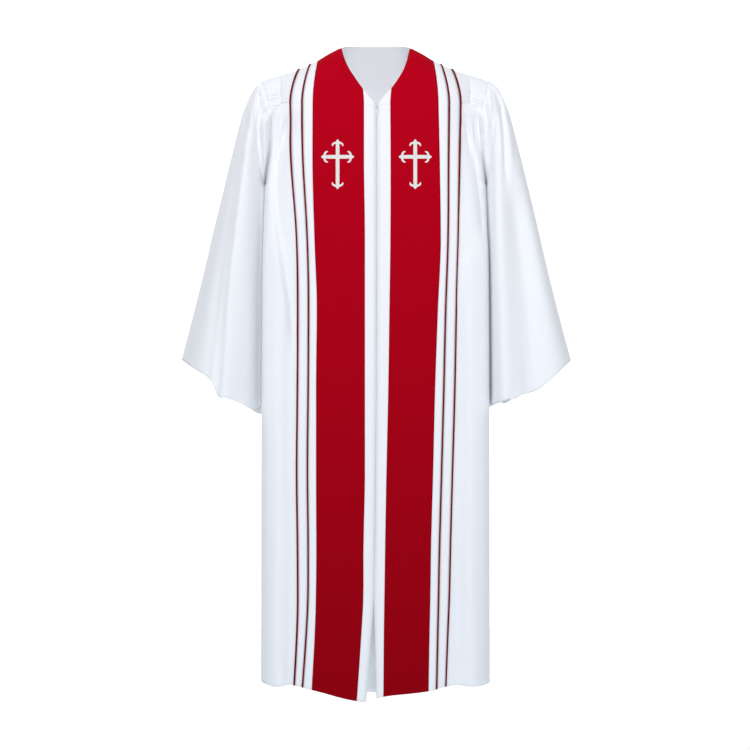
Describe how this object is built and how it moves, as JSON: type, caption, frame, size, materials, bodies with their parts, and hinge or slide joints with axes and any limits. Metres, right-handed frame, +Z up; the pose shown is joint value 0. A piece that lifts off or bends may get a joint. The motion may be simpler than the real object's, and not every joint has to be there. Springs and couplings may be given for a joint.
{
  "type": "clergy robe",
  "caption": "Full-length white clergy robe with a V neck, wide shirred bell sleeves, a red band with a cross down each front and dark red piping, in its hollow worn form.",
  "frame": {"origin": "midway between the two neck-shoulder points, where the wearer's shoulders carry the robe", "axes": "+Z up, the front faces -Y, the robe's right side as its wearer has it is at -X"},
  "size_m": [0.828, 0.3082, 1.412],
  "materials": {
    "white_cloth": "matt plain-weave suiting",
    "red_cloth": "matt plain-weave suiting",
    "piping": "corded bias piping",
    "embroidery": "satin-stitch embroidery",
    "zip_tape": "woven tape",
    "zip_metal": "white enamel"
  },
  "bodies": {
    "root": {"front_right": "white_cloth", "front_left": "white_cloth", "yoke_front_right": "white_cloth", "yoke_front_left": "white_cloth", "yoke_back": "white_cloth", "back": "white_cloth", "sleeve_right": "white_cloth", "sleeve_left": "white_cloth", "strip_inner_right": "white_cloth", "strip_inner_left": "white_cloth", "strip_outer_right": "white_cloth", "strip_outer_left": "white_cloth", "band_right": "red_cloth", "band_left": "red_cloth", "piping_inner_right": "piping", "piping_inner_left": "piping", "piping_outer_right": "piping", "piping_outer_left": "piping", "cross_right": "embroidery", "cross_left": "embroidery", "zip_tape": "zip_tape", "zip_slider": "zip_metal"},
    "pull_tab": {"zip_pull": "zip_metal"}
  },
  "joints": [
    {"name": "pull_tab_hinge", "type": "hinge", "parent": "root", "child": "pull_tab", "pos_m": [0.0025, -0.09658, -0.13321], "axis": [-1, 0, 0], "range_deg": [0, 170]}
  ]
}
